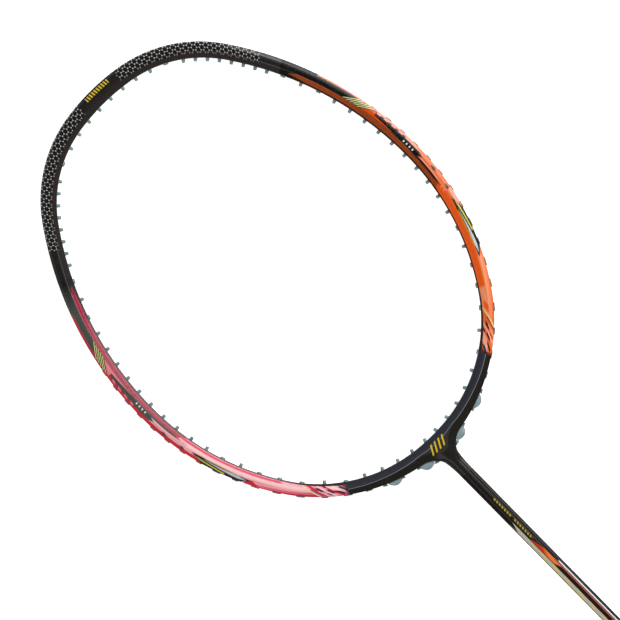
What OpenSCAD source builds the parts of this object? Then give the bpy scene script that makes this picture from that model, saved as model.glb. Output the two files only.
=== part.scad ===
// Badminton racket, unstrung: a hollow hoop with its throat, a thin shaft, a wrapped
// octagonal handle, and the plastic grommets that line every string hole.
// The racket lies flat: +Y runs from the butt to the tip, +X across the head and +Z out of
// the string face. The origin is the centre of the flat butt end. Sizes are in millimetres.

/* [Head outline] */
// Overall length, butt to tip
overall_length = 675; // [670:1:680]
// Length of the opening, throat to tip
inner_length = 242.5; // [241:0.5:244]
// Width of the opening at its widest line
inner_width = 186; // [185:0.2:187]
// Distance from the inner tip down to the widest line
tip_to_widest = 130.2; // [129.8:0.2:130.4]
// Radius of the long inner arc above the widest line
upper_side_radius = 178; // [177:0.5:179]
// Radius of the long inner arc below the widest line
lower_side_radius = 136.5; // [136:0.5:137]
// Radius of the long outer arc above the widest line
outer_upper_radius = 188.5; // [188:0.5:189]
// Radius of the long outer arc below the widest line
outer_lower_radius = 141; // [140.5:0.5:141.5]
// Direction, in degrees above the widest line, where the tip arc ends
tip_arc_end = 81; // [80.5:0.5:81.5]
// Direction where the shoulder arc ends and the upper side arc begins
shoulder_arc_end = 35; // [34.8:0.2:35.2]
// Direction, in degrees below the widest line, where the throat arc begins
throat_arc_start = 85.5; // [85:0.5:86]
// Direction where the lower side arc ends and the lower shoulder arc begins
lower_shoulder_start = 34; // [33.8:0.2:34.2]

/* [Hoop section] */
// Width of the hoop at the tip
rim_width_tip = 9.3; // [9.1:0.1:9.5]
// Width of the hoop at the widest line
rim_width_side = 7.5; // [7.3:0.1:7.7]
// Width of the hoop at the throat
rim_width_throat = 8.8; // [8.6:0.1:9]
// Height of the hoop, front face to back face
rim_height = 10.4; // [10:0.1:11]
// Thickness of the laminate
rim_wall = 1.2; // [1:0.1:1.4]
// Half height of the upright band on the outer and inner walls
upright_half = 2.2; // [2:0.1:2.4]
// Depth of the outer bevel, measured across the hoop
outer_bevel = 2.2; // [2:0.1:2.4]
// Depth of the inner bevel, measured across the hoop
inner_bevel = 2.6; // [2.4:0.1:2.8]

/* [Throat] */
// Radius of the fillet between the hoop and the neck
neck_fillet = 12; // [11.5:0.5:12.5]
// Outer diameter of the neck, the same as the top of the shaft
neck_diameter = 7.4; // [7.2:0.1:7.6]
// Place of the joint line between neck and shaft
neck_end_y = 397; // [394:1:399]
// Diameter of the hidden T joint's stem
stem_diameter = 4.4; // [4:0.1:4.6]
// How far the stem reaches into the shaft
stem_depth = 22; // [15:1:30]
// Reach of the T joint's arms, in degrees of the throat arc
arm_reach = 14; // [12:1:15]

/* [Shaft] */
// Shaft diameter at its lower end
shaft_bottom_diameter = 6.8; // [6.7:0.1:7]
// Thickness of the shaft tube
shaft_wall = 1.4; // [1.3:0.1:1.5]
// Place of the shaft's lower end, inside the handle
shaft_start_y = 34; // [30:1:40]

/* [Handle] */
// Place of the top of the grip
grip_end_y = 178; // [172:1:184]
// Width of the bare handle across its wide flats
core_width = 24; // [23.5:0.1:24.5]
// Thickness of the bare handle
core_depth = 21; // [20.5:0.1:21.5]
// Cut on each corner of the bare handle
core_chamfer = 5.4; // [5:0.1:5.8]
// Thickness of the grip wrap with its overlaps
grip_thickness = 1.6; // [1.4:0.1:1.8]
// Width of the finishing tape over the end of the grip
finishing_tape_width = 12; // [10:1:14]
// Length of the cone cap above the grip
cone_length = 44; // [40:1:48]
// Outer diameter of the cone cap where it meets the shaft
cone_top_diameter = 9.6; // [9.4:0.1:10]
// Height of the butt cap
butt_height = 16; // [15:1:18]
// How far the butt cap stands out past the bare handle on each side
butt_flare = 3.2; // [3:0.1:3.6]
// Diameter of the round plate in the butt end
medallion_diameter = 15; // [14:0.5:16]

/* [Grommets] */
// Outer diameter of a grommet's barrel
barrel_diameter = 2.0; // [1.9:0.1:2.1]
// Diameter of the string hole through a grommet
string_hole = 1.2; // [1.1:0.1:1.3]
// How much wider than its barrel the flange on the outer wall is
flange_margin = 1.8; // [1.6:0.1:2]
// Thickness of that flange
flange_thickness = 0.6; // [0.5:0.1:0.7]
// How far a barrel stands out inside the hoop
pin_length = 1.9; // [1.6:0.1:2.4]
// Barrel diameter of a grommet that two strings share
shared_diameter = 3.0; // [2.8:0.1:3.2]
// How far a shared barrel stands out inside the hoop
shared_pin_length = 0.9; // [0.8:0.1:1.2]
// Distance of the first long string from the middle line
first_main_x = 4.1; // [4:0.1:4.2]
// Spacing of the long strings at the tip
tip_main_pitch = 8.3; // [8.2:0.05:8.4]
// Spacing of the long strings at the throat
throat_main_pitch = 8.8; // [8.7:0.05:8.9]
// Spacing of the cross strings near the middle of the head
cross_pitch = 9.05; // [9:0.05:9.1]
// Extra spacing of the cross strings, growing away from the middle
cross_spread = 0.027; // [0.025:0.001:0.029]
// Distance of the first shoulder hole from the tip, along the inner wall
shoulder_first = 47.8; // [47.4:0.2:48.2]
// Spacing of the eight shoulder holes along that wall
shoulder_pitch = 6.35; // [6.3:0.05:6.4]
// Outward lean of the four throat holes, away from square with the wall
throat_lean = 13; // [11:1:15]
// Height of the bumper bridges at the throat
bridge_height = 2.3; // [2.2:0.1:2.4]

/* [Hidden] */
$fn = 96;
slack = 0.1;
seam = 0.004;

inner_tip_y = overall_length - rim_width_tip;
widest_y = inner_tip_y - tip_to_widest;
inner_throat_y = inner_tip_y - inner_length;
middle_cross_y = 546.1;
tack_spread = 9;
tack_diameter = 1.2;
fairing_run = 3.4;
rim_run = 0.5;
band = 14;
half_height = rim_height / 2;
neck_radius = neck_diameter / 2;
bore_radius = (shaft_bottom_diameter - 2 * shaft_wall) / 2 + 0.2;
grip_start_y = butt_height - 6;
cone_base_y = grip_end_y - 6;

function main_x(i, pitch) = first_main_x + i * pitch;
function cross_y(j) = middle_cross_y + cross_pitch * j + cross_spread * j * abs(j);

// Half of an oval made of three tangent arcs. The long side arc and the two directions are
// given, and the other two radii follow from the width and length that they have to close.
function end_radius(half_width, length, side_r, a, b) =
    let (p = half_width - side_r * (1 - cos(b)), q = side_r * sin(b) - length)
    let (m = cos(b) - cos(a), n = sin(b) - sin(a))
    (p * n - q * m) / (cos(a) * n + (1 - sin(a)) * m);
function corner_radius(half_width, side_r, a, b, end_r) =
    (half_width - side_r * (1 - cos(b)) - end_r * cos(a)) / (cos(b) - cos(a));
function corner_centre(end_y, sign, end_r, corner_r, a) =
    [(end_r - corner_r) * cos(a), end_y - sign * (end_r - (end_r - corner_r) * sin(a))];

// An arc is [centre, radius, first direction, last direction], clockwise from the tip.
function half_arcs(half_width, end_y, sign, side_r, a, b) =
    let (length = abs(end_y - widest_y))
    let (end_r = end_radius(half_width, length, side_r, a, b))
    let (corner_r = corner_radius(half_width, side_r, a, b, end_r))
    [[[0, end_y - sign * end_r], end_r, 90, a],
     [corner_centre(end_y, sign, end_r, corner_r, a), corner_r, a, b],
     [[half_width - side_r, widest_y], side_r, b, 0]];

function flip(arc) = [arc[0], arc[1], -arc[3], -arc[2]];
function outline(half_width, tip_y, throat_y, upper_r, lower_r) =
    let (up = half_arcs(half_width, tip_y, 1, upper_r, tip_arc_end, shoulder_arc_end))
    let (down = half_arcs(half_width, throat_y, -1, lower_r, throat_arc_start,
        lower_shoulder_start))
    [up[0], up[1], up[2], flip(down[2]), flip(down[1]), flip(down[0])];

inner = outline(inner_width / 2, inner_tip_y, inner_throat_y, upper_side_radius,
    lower_side_radius);
outer = outline(inner_width / 2 + rim_width_side, overall_length,
    inner_throat_y - rim_width_throat, outer_upper_radius, outer_lower_radius);

// The outline's direction at a string hole, found from its x or its y.
function arc_for_direction(arcs, t) = t > arcs[0][3] ? arcs[0] : t > arcs[1][3] ? arcs[1] :
    t > 0 ? arcs[2] : t > arcs[3][3] ? arcs[3] : t > arcs[4][3] ? arcs[4] : arcs[5];
function arc_point(arc, t) = arc[0] + arc[1] * [cos(t), sin(t)];
function outline_point(arcs, t) = arc_point(arc_for_direction(arcs, t), t);
function arc_for_y(y) = [for (arc = inner) if (y >= arc_point(arc, arc[3]).y) arc][0];
function hole_for_y(y) = let (arc = arc_for_y(y)) asin((y - arc[0].y) / arc[1]);
function upper_arc_for_x(x) =
    [for (k = [0:2]) if (x <= arc_point(inner[k], inner[k][3]).x) inner[k]][0];
function lower_arc_for_x(x) =
    [for (k = [5:-1:3]) if (x <= arc_point(inner[k], inner[k][2]).x) inner[k]][0];
function hole_for_x(x, sign) =
    let (arc = sign > 0 ? upper_arc_for_x(x) : lower_arc_for_x(x))
    sign * acos((x - arc[0].x) / arc[1]);

// The outline's direction at a distance from the tip, measured along the inner wall.
function direction_along(distance, k = 0) =
    let (arc = inner[k], arc_length = arc[1] * (arc[2] - arc[3]) * PI / 180)
    distance <= arc_length ? arc[2] - distance / arc[1] * 180 / PI :
        direction_along(distance - arc_length, k + 1);

// Reach of an outline in a direction, and so the width of the hoop there.
function reach(arcs, t) =
    let (arc = arc_for_direction(arcs, t)) arc[0].x * cos(t) + arc[0].y * sin(t) + arc[1];
function rim_width(t) = reach(outer, t) - reach(inner, t);

// The rows of string holes on one half of the head, named by what they line.
tip_mains = [for (i = [0:3]) hole_for_x(main_x(i, tip_main_pitch), 1)];
tip_shared_holes = [hole_for_x(main_x(4, tip_main_pitch), 1)];
shoulder_holes = [for (i = [0:7]) direction_along(shoulder_first + i * shoulder_pitch)];
shoulder_shared_holes = [for (j = [5, 7]) hole_for_y(cross_y(j))];
upper_side_holes = [for (j = [0, 1, 2, 3, 4, 6]) hole_for_y(cross_y(j))];
lower_side_holes = [for (j = [1, 2, 3, 4, 5, 7]) hole_for_y(cross_y(-j))];
corner_shared_holes = concat([for (j = [6, 8, 9, 10]) hole_for_y(cross_y(-j))],
    [hole_for_x(main_x(5, throat_main_pitch), -1)]);
arm_holes = [for (i = [4, 6]) hole_for_x(main_x(i, throat_main_pitch), -1)];
throat_holes = [for (i = [0:3]) hole_for_x(main_x(i, throat_main_pitch), -1)];

narrow_holes = concat(tip_mains, shoulder_holes, upper_side_holes, lower_side_holes, arm_holes);
wide_holes = concat(tip_shared_holes, shoulder_shared_holes, corner_shared_holes);

// Both halves of something drawn on the +X side.
module both_sides() {
    children();
    mirror([1, 0, 0]) children();
}

// A section swept along one arc of an outline. The section is drawn at the arc's radius, and
// the sweep runs a hair past both ends, so that neighbouring arcs fuse.
module along_arc(arc) {
    translate([arc[0].x, arc[0].y, 0])
        rotate_extrude(angle = arc[2] - arc[3] + 2 * seam, start = arc[3] - seam) children();
}

// A ring of sections along a whole outline: $r is the radius that the section reads.
module along_outline(arcs) {
    for (k = [0, 5]) {
        arc = arcs[k];
        full = k == 0 ? [arc[0], arc[1], 180 - arc[3], arc[3]] :
            [arc[0], arc[1], arc[2], -180 - arc[2]];
        $r = arc[1];
        along_arc(full) children();
    }
    for (k = [1:4]) {
        $r = arcs[k][1];
        both_sides() along_arc(arcs[k]) children();
    }
}

// Section of the hoop's outside: an upright band between two bevels, less a skin.
module outside_section(skin) {
    top = half_height - skin;
    wall = $r - skin;
    upright = upright_half - skin / 3;
    polygon([[$r - band, -top], [wall - outer_bevel, -top], [wall, -upright], [wall, upright],
        [wall - outer_bevel, top], [$r - band, top]]);
}

// Section of the opening: it flares to both faces, so that the hoop gets its inner bevel.
module opening_section(skin) {
    wall = $r + skin;
    slope = inner_bevel / (half_height - upright_half);
    rise = half_height + 1;
    flare = slope * (rise - upright_half);
    polygon([[$r - band, -rise], [wall + flare, -rise], [wall, -upright_half],
        [wall, upright_half], [wall + flare, rise], [$r - band, rise]]);
}

// Concave trumpet from the neck up into the hoop, cut flat at the hoop's two faces.
module throat_fairing() {
    hub = outer[4];
    fillet_x = neck_radius + neck_fillet;
    drop = sqrt(pow(hub[1] + neck_fillet, 2) - pow(fillet_x - hub[0].x, 2));
    fillet_y = hub[0].y - drop;
    tangent_y = hub[0].y - drop * hub[1] / (hub[1] + neck_fillet);
    intersection() {
        rotate([-90, 0, 0]) rotate_extrude() difference() {
            translate([0, neck_end_y]) square([fillet_x - 1, tangent_y - neck_end_y]);
            translate([fillet_x, fillet_y]) circle(neck_fillet);
            translate([neck_radius, neck_end_y - 1]) square([fillet_x, fillet_y - neck_end_y + 1]);
        }
        translate([-fillet_x, neck_end_y - 1, -half_height])
            cube([2 * fillet_x, tangent_y - neck_end_y + 2, rim_height]);
    }
}

// Puts a child, drawn along +Z from the inner wall, in line with a string hole.
module in_line_with(t, lean = 0) {
    p = outline_point(inner, t);
    translate([p.x, p.y, 0]) rotate([0, 90, t + lean]) children();
}

module drilled_hole(t, diameter, length, lean = 0) {
    in_line_with(t, lean) translate([0, 0, -3]) cylinder(d = diameter + 2 * slack, h = length + 3);
}

module string_holes() {
    both_sides() {
        for (t = narrow_holes) drilled_hole(t, barrel_diameter, band);
        for (t = wide_holes) drilled_hole(t, shared_diameter, band);
        for (t = throat_holes) drilled_hole(t, barrel_diameter, band + 4, throat_lean);
    }
}

module head_frame() {
    color("#17181b") difference() {
        union() {
            along_outline(outer) outside_section(0);
            throat_fairing();
        }
        along_outline(inner) opening_section(0);
        hoop_cavity();
        translate([0, neck_end_y - 1, 0]) rotate([-90, 0, 0])
            cylinder(d = stem_diameter, h = inner_throat_y - neck_end_y - 2);
        string_holes();
    }
}

// The space inside the laminate.
module hoop_cavity() {
    difference() {
        along_outline(outer) outside_section(rim_wall);
        along_outline(inner) opening_section(rim_wall);
    }
}

// The joint hidden in the throat: a stem in the neck and shaft, and two arms in the hoop.
module t_joint() {
    arm_height = 4.4;
    arm_inner = inner[5][1] + rim_wall + 0.2;
    arm_outer = inner[5][1] + rim_width_throat - rim_wall - 1.9;
    color("#3b3d42") difference() {
        union() {
            translate([0, neck_end_y - stem_depth, 0]) rotate([-90, 0, 0])
                cylinder(d = stem_diameter, h = inner_throat_y - neck_end_y + stem_depth - 3);
            translate([inner[5][0].x, inner[5][0].y, 0]) rotate([0, 0, -90 - arm_reach])
                rotate_extrude(angle = 2 * arm_reach)
                    translate([arm_inner, -arm_height / 2])
                        square([arm_outer - arm_inner, arm_height]);
        }
        string_holes();
    }
}

module shaft() {
    length = neck_end_y - shaft_start_y;
    color("#1a1614") translate([0, shaft_start_y, 0]) rotate([-90, 0, 0]) difference() {
        cylinder(d1 = shaft_bottom_diameter, d2 = neck_diameter, h = length);
        translate([0, 0, -1]) cylinder(r = bore_radius, h = length - stem_depth + 1);
        translate([0, 0, length - stem_depth - 1]) cylinder(d = stem_diameter, h = stem_depth + 2);
    }
}

// Octagon of a given width and depth, with equal corner cuts.
module octagon(width, depth, cut) {
    x = width / 2;
    y = depth / 2;
    polygon([[x, cut - y], [x, y - cut], [x - cut, y], [cut - x, y], [-x, y - cut],
        [-x, cut - y], [cut - x, -y], [x - cut, -y]]);
}

// A length of octagonal bar along +Y, grown by a margin on every side.
module octagon_bar(margin, start_y, end_y) {
    translate([0, start_y, 0]) rotate([-90, 0, 0]) linear_extrude(end_y - start_y)
        octagon(core_width + 2 * margin, core_depth + 2 * margin, core_chamfer + 0.6 * margin);
}

module shaft_socket(start_y, end_y, diameter) {
    translate([0, start_y, 0]) rotate([-90, 0, 0]) cylinder(d = diameter, h = end_y - start_y);
}

// Wooden handle, with a turned nose under the cone cap and a bored hole for the shaft.
module handle_core() {
    nose_length = 26;
    nose_base_diameter = 18;
    nose_top_diameter = 12;
    color("#d9b98a") difference() {
        union() {
            octagon_bar(0, 3, cone_base_y);
            translate([0, cone_base_y, 0]) rotate([-90, 0, 0])
                cylinder(d1 = nose_base_diameter, d2 = nose_top_diameter, h = nose_length);
        }
        shaft_socket(shaft_start_y, cone_base_y + nose_length + 1, neck_diameter);
        butt_tack_holes();
    }
}

// Flared plastic cap between the grip and the shaft.
module cone_cap() {
    base_d = core_depth - 0.6;
    length = cone_length + 6;
    wall = 1.1;
    color("#141416") translate([0, cone_base_y, 0]) rotate([-90, 0, 0]) rotate_extrude()
        difference() {
            polygon(cone_outline(base_d / 2, cone_top_diameter / 2, length));
            polygon(concat(
                [for (p = cone_outline(base_d / 2 - wall, cone_top_diameter / 2 - wall, length))
                    if (p.x > 0) [p.x, p.y - 0.01]],
                [[0, length - 0.01], [0, -0.01]]));
            translate([0, -1]) square([neck_radius, length + 2]);
        }
}

// Side of the cone cap: a short straight skirt, then a shallow hollow curve to the shaft.
function cone_outline(base_r, top_r, length) =
    let (skirt = 8)
    concat([[0, 0], [base_r, 0], [base_r, skirt]],
        [for (i = [1:8]) let (s = i / 8)
            [base_r + (top_r - base_r) * (1 - pow(1 - s, 1.5)), skirt + (length - skirt) * s]],
        [[0, length]]);

module grip() {
    color("#1d1e22") difference() {
        octagon_bar(grip_thickness, grip_start_y, grip_end_y);
        octagon_bar(0, grip_start_y - 1, cone_base_y);
        shaft_socket(cone_base_y - 1, grip_end_y + 1, core_depth - 0.6);
    }
}

// Narrow tape that closes the end of the grip and runs on to the cone cap.
module finishing_tape() {
    margin = grip_thickness + 0.5;
    color("#c9a24a") difference() {
        octagon_bar(margin, grip_end_y - finishing_tape_width, grip_end_y);
        octagon_bar(grip_thickness, grip_end_y - finishing_tape_width - 1, grip_end_y + 1);
    }
}

// Flared cup over the end of the handle, with a recess for the round plate.
module butt_cap() {
    color("#141416") difference() {
        hull() {
            octagon_bar(butt_flare - 1, 0, 1);
            octagon_bar(butt_flare, 1.5, 7);
            octagon_bar(grip_thickness + 0.2, butt_height - 1, butt_height);
        }
        octagon_bar(0, 3, butt_height + 1);
        octagon_bar(grip_thickness, grip_start_y, butt_height + 1);
        shaft_socket(-1, 1.2, medallion_diameter);
        butt_tack_holes();
    }
}

module butt_medallion() {
    color("#b8bcc2") rotate([-90, 0, 0]) cylinder(d = medallion_diameter - 0.2, h = 1);
}

module butt_tack_holes() {
    both_sides() translate([tack_spread / 2, 0, 0]) shaft_socket(1, 13, tack_diameter);
}

// Two tacks that pin the butt cap to the wood, hidden under the round plate.
module butt_cap_tacks() {
    color("#8d9096") both_sides() translate([tack_spread / 2, 0, 0])
        shaft_socket(1.1, 12.8, tack_diameter);
}

// One grommet: a barrel through the hoop, open at both ends, with a flange outside.
module grommet(t, diameter, pin, lean = 0, run = 0) {
    length = rim_width(t) + run;
    in_line_with(t, lean) difference() {
        union() {
            translate([0, 0, -pin]) cylinder(d = diameter, h = pin + length + flange_thickness);
            translate([0, 0, length])
                cylinder(d = diameter + flange_margin, h = flange_thickness);
        }
        translate([0, 0, -pin - 1])
            cylinder(d = string_hole + diameter - barrel_diameter,
                h = pin + length + flange_thickness + 2);
    }
}

module grommets(holes) {
    color("#9fbcc0") for (t = holes) grommet(t, barrel_diameter, pin_length);
}

module shared_grommets(holes) {
    color("#9fbcc0") both_sides() for (t = holes) grommet(t, shared_diameter, shared_pin_length);
}

// One side of the head: the +X half is right, and its mirror image is left.
module on_side(side) {
    if (side == "right") children();
    if (side == "left") mirror([1, 0, 0]) children();
}

// Two barrels joined outside the hoop by a bridge that lifts the string off the laminate.
// The bridge is a lens: its chord lies along the hoop's outer wall and its back bulges out.
module throat_strip(k) {
    color("#9fbcc0") union() {
        for (i = [k, k + 1])
            grommet(throat_holes[i], barrel_diameter, pin_length, throat_lean, throat_run(i));
        bridge(throat_foot(k + 1), throat_foot(k));
    }
}

// How far a throat hole runs past the hoop's width. The fairing is thicker at the middle holes.
function throat_run(k) = k == 0 ? fairing_run : rim_run;

// Where a throat grommet's flange sits.
function throat_foot(k) =
    let (t = throat_holes[k])
    let (way = t + throat_lean)
    outline_point(inner, t) + (rim_width(t) + throat_run(k)) * [cos(way), sin(way)];

module bridge(a, b) {
    chord = norm(b - a);
    radius = (chord * chord / 4 + bridge_height * bridge_height) / (2 * bridge_height);
    lens_width = 3;
    translate([a.x, a.y, -lens_width / 2]) rotate([0, 0, atan2(b.y - a.y, b.x - a.x)])
        linear_extrude(lens_width) intersection() {
            translate([chord / 2, radius - bridge_height]) circle(radius);
            translate([0, -bridge_height]) square([chord, bridge_height + 0.6]);
        }
}

head_frame();
t_joint();
shaft();
cone_cap();
handle_core();
grip();
finishing_tape();
butt_cap();
butt_medallion();
butt_cap_tacks();
shared_grommets(tip_shared_holes);  // tip_shared_grommets
shared_grommets(shoulder_shared_holes);  // shoulder_shared_grommets
shared_grommets(corner_shared_holes);  // corner_shared_grommets
on_side("left") grommets(tip_mains);  // tip_grommets_left
on_side("right") grommets(tip_mains);  // tip_grommets_right
on_side("left") grommets(shoulder_holes);  // shoulder_grommets_left
on_side("right") grommets(shoulder_holes);  // shoulder_grommets_right
on_side("left") grommets(upper_side_holes);  // upper_side_grommets_left
on_side("right") grommets(upper_side_holes);  // upper_side_grommets_right
on_side("left") grommets(lower_side_holes);  // lower_side_grommets_left
on_side("right") grommets(lower_side_holes);  // lower_side_grommets_right
on_side("left") grommets(arm_holes);  // arm_grommets_left
on_side("right") grommets(arm_holes);  // arm_grommets_right
on_side("left") throat_strip(0);  // inner_throat_strip_left
on_side("right") throat_strip(0);  // inner_throat_strip_right
on_side("left") throat_strip(2);  // outer_throat_strip_left
on_side("right") throat_strip(2);  // outer_throat_strip_right
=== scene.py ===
# Looks for an unstrung badminton racket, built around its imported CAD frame.
# The racket lies flat: +Y runs from the butt to the tip, +X across the head and +Z out of the
# string face. Sizes here are in millimetres and become metres when a mesh is made.
import math

import bmesh
import bpy
from mathutils import Matrix, Vector
from mathutils.kdtree import KDTree


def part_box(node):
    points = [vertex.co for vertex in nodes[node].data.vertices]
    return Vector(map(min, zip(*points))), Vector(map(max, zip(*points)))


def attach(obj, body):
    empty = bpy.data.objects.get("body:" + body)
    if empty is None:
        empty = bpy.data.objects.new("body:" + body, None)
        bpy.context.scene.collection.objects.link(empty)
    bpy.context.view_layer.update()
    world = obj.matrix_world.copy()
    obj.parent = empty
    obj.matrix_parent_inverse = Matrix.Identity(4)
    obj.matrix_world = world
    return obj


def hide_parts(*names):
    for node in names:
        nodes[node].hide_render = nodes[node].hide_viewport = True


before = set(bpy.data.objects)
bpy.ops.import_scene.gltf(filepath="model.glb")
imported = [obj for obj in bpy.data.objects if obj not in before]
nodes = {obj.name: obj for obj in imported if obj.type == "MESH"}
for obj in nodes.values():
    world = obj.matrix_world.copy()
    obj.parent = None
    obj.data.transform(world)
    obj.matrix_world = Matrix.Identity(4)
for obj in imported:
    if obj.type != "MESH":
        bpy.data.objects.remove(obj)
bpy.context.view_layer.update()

MM = 0.001


# ---------------------------------------------------------------- small helpers

def lerp(a, b, share):
    return a + (b - a) * share


def smoothstep(low, high, value):
    share = min(max((value - low) / (high - low), 0.0), 1.0)
    return share * share * (3.0 - 2.0 * share)


def soft_min(a, b, reach):
    """The smaller of two heights, with the crease between them rounded over reach."""
    overlap = max(reach - abs(a - b), 0.0) / reach
    return min(a, b) - overlap * overlap * reach / 4.0


def cos_deg(angle):
    return math.cos(math.radians(angle))


def sin_deg(angle):
    return math.sin(math.radians(angle))


def box_mm(node):
    low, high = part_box(node)
    return [value / MM for value in low], [value / MM for value in high]


def handle_box(node):
    """Width, depth, bottom and top of a piece's CAD box, in millimetres."""
    low, high = box_mm(node)
    return high[0] - low[0], high[2] - low[2], low[1], high[1]


def loft(rings, closed=True):
    """Faces between equal rings; the last ring joins the first, or both ends are capped."""
    size = len(rings[0])
    vertices = [point for ring in rings for point in ring]
    faces = []
    steps = len(rings) if closed else len(rings) - 1
    for i in range(steps):
        here = i * size
        there = ((i + 1) % len(rings)) * size
        for k in range(size):
            nxt = (k + 1) % size
            faces.append((here + k, here + nxt, there + nxt, there + k))
    if not closed:
        faces.append(tuple(range(size)))
        faces.append(tuple(range(steps * size, len(rings) * size)))
    return vertices, faces


def sharpen(piece, angle):
    """Smooth shading that keeps the edges sharper than the angle."""
    piece.data.set_sharp_from_angle(angle=math.radians(angle))


def mesh_piece(name, solids, sharp_angle):
    """One object from (vertices, faces) solids in millimetres."""
    work = bmesh.new()
    for vertices, faces in solids:
        made = [work.verts.new(Vector(point) * MM) for point in vertices]
        for face in faces:
            work.faces.new([made[i] for i in face])
    bmesh.ops.recalc_face_normals(work, faces=work.faces)
    mesh = bpy.data.meshes.new(name)
    work.to_mesh(mesh)
    work.free()
    mesh.polygons.foreach_set("use_smooth", [True] * len(mesh.polygons))
    piece = bpy.data.objects.new(name, mesh)
    bpy.context.scene.collection.objects.link(piece)
    sharpen(piece, sharp_angle)
    return piece


# ---------------------------------------------------------------- shader helpers

def srgb(red, green, blue):
    """A linear colour from the 0 to 255 numbers of a paint card."""
    linear = []
    for value in (red, green, blue):
        share = value / 255.0
        linear.append(share / 12.92 if share <= 0.04045 else ((share + 0.055) / 1.055) ** 2.4)
    return (*linear, 1.0)


class Field:
    """A number that shader nodes work out at each point, so masks read as sums."""

    def __init__(self, tree, socket):
        self.tree = tree
        self.socket = socket

    def node(self, operation, *others, clamp=False):
        node = self.tree.nodes.new("ShaderNodeMath")
        node.operation = operation
        node.use_clamp = clamp
        for socket, value in zip(node.inputs, (self, *others)):
            if isinstance(value, Field):
                self.tree.links.new(value.socket, socket)
            else:
                socket.default_value = value
        return Field(self.tree, node.outputs[0])

    def __add__(self, other):
        return self.node("ADD", other)

    def __sub__(self, other):
        return self.node("SUBTRACT", other)

    def __mul__(self, other):
        return self.node("MULTIPLY", other)

    def __truediv__(self, other):
        return self.node("DIVIDE", other)

    def flip(self):
        """One minus the number."""
        return self.node("MULTIPLY_ADD", -1.0, 1.0)

    def size(self):
        return self.node("ABSOLUTE")

    def low(self, other):
        return self.node("MINIMUM", other)

    def high(self, other):
        return self.node("MAXIMUM", other)

    def wrap(self, period):
        return self.node("FLOORED_MODULO", period)

    def wave(self, period):
        return (self * (2.0 * math.pi / period)).node("SINE")

    def above(self, limit, soft):
        """A mask that rises from 0 to 1 around a limit, over a soft width."""
        return (self - limit).node("MULTIPLY_ADD", 1.0 / soft, 0.5, clamp=True)

    def below(self, limit, soft):
        return self.above(limit, soft).flip()

    def between(self, low, high, soft):
        return self.above(low, soft) * self.below(high, soft)

    def near(self, centre, half, soft):
        """A mask of the numbers no further than half from a centre."""
        return (self - centre).size().below(half, soft)


class Paint:
    """A material being built: its tree, its palette and the colour laid on so far."""

    def __init__(self, name, roughness=0.35, metallic=0.0, coat=0.0, shine=0.5):
        self.material = bpy.data.materials.new(name)
        self.material.use_nodes = True
        self.tree = self.material.node_tree
        self.shader = self.tree.nodes["Principled BSDF"]
        self.palette = {}
        self.colour = None
        self.normal = None
        for socket, value in (("Roughness", roughness), ("Metallic", metallic), ("Coat Weight", coat),
                              ("Coat Roughness", 0.08), ("Specular IOR Level", shine)):
            self.shader.inputs[socket].default_value = value

    def feed(self, kind, source, **numbers):
        """A new node that takes in a vector, with its other inputs set."""
        node = self.tree.nodes.new(kind)
        self.tree.links.new(source, node.inputs["Vector"])
        for name, value in numbers.items():
            node.inputs[name].default_value = value
        return node

    def object_point(self):
        return self.tree.nodes.new("ShaderNodeTexCoord").outputs["Object"]

    def position(self):
        """The point's own x, y and z, in millimetres."""
        split = self.feed("ShaderNodeSeparateXYZ", self.object_point())
        return [Field(self.tree, socket) * 1000.0 for socket in split.outputs]

    def place(self):
        """The point's distance along the hoop, share across it and distance from its inner line."""
        attribute = self.tree.nodes.new("ShaderNodeAttribute")
        attribute.attribute_name = "place"
        split = self.feed("ShaderNodeSeparateXYZ", attribute.outputs["Vector"])
        return [Field(self.tree, socket) for socket in split.outputs]

    def noise(self, scale, detail=3.0, stretch=(1.0, 1.0, 1.0), roughness=0.55):
        spread = self.feed("ShaderNodeMapping", self.object_point(), Scale=stretch)
        texture = self.feed("ShaderNodeTexNoise", spread.outputs[0], Scale=scale, Detail=detail,
                            Roughness=roughness)
        return Field(self.tree, texture.outputs[0])

    def cells(self, scale):
        texture = self.feed("ShaderNodeTexVoronoi", self.object_point(), Scale=scale)
        return Field(self.tree, texture.outputs[0])

    def start(self, colour):
        self.colour = self.palette.get(colour, colour)

    def lay(self, mask, colour):
        """Lays a colour, or a name from the palette, as thickly as the mask says."""
        mix = self.tree.nodes.new("ShaderNodeMix")
        mix.data_type = "RGBA"
        factor, base, top = mix.inputs[0], mix.inputs[6], mix.inputs[7]
        self.tree.links.new(mask.socket, factor)
        if isinstance(self.colour, tuple):
            base.default_value = self.colour
        else:
            self.tree.links.new(self.colour, base)
        top.default_value = self.palette.get(colour, colour)
        self.colour = mix.outputs[2]

    def fleck(self, scale, detail, limit, soft, weight, colour):
        """Lays a colour in the blotches where a noise is above a limit."""
        self.lay(self.noise(scale, detail).above(limit, soft) * weight, colour)

    def bump(self, height, strength, distance_mm):
        node = self.tree.nodes.new("ShaderNodeBump")
        node.inputs["Strength"].default_value = strength
        node.inputs["Distance"].default_value = distance_mm * MM
        self.tree.links.new(height.socket, node.inputs["Height"])
        if self.normal is not None:
            self.tree.links.new(self.normal, node.inputs["Normal"])
        self.normal = node.outputs["Normal"]

    def rough(self, field):
        self.tree.links.new(field.socket, self.shader.inputs["Roughness"])

    def finish(self):
        self.tree.links.new(self.colour, self.shader.inputs["Base Color"])
        if self.normal is not None:
            self.tree.links.new(self.normal, self.shader.inputs["Normal"])
        return self.material


# ---------------------------------------------------------------- head outline

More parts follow.
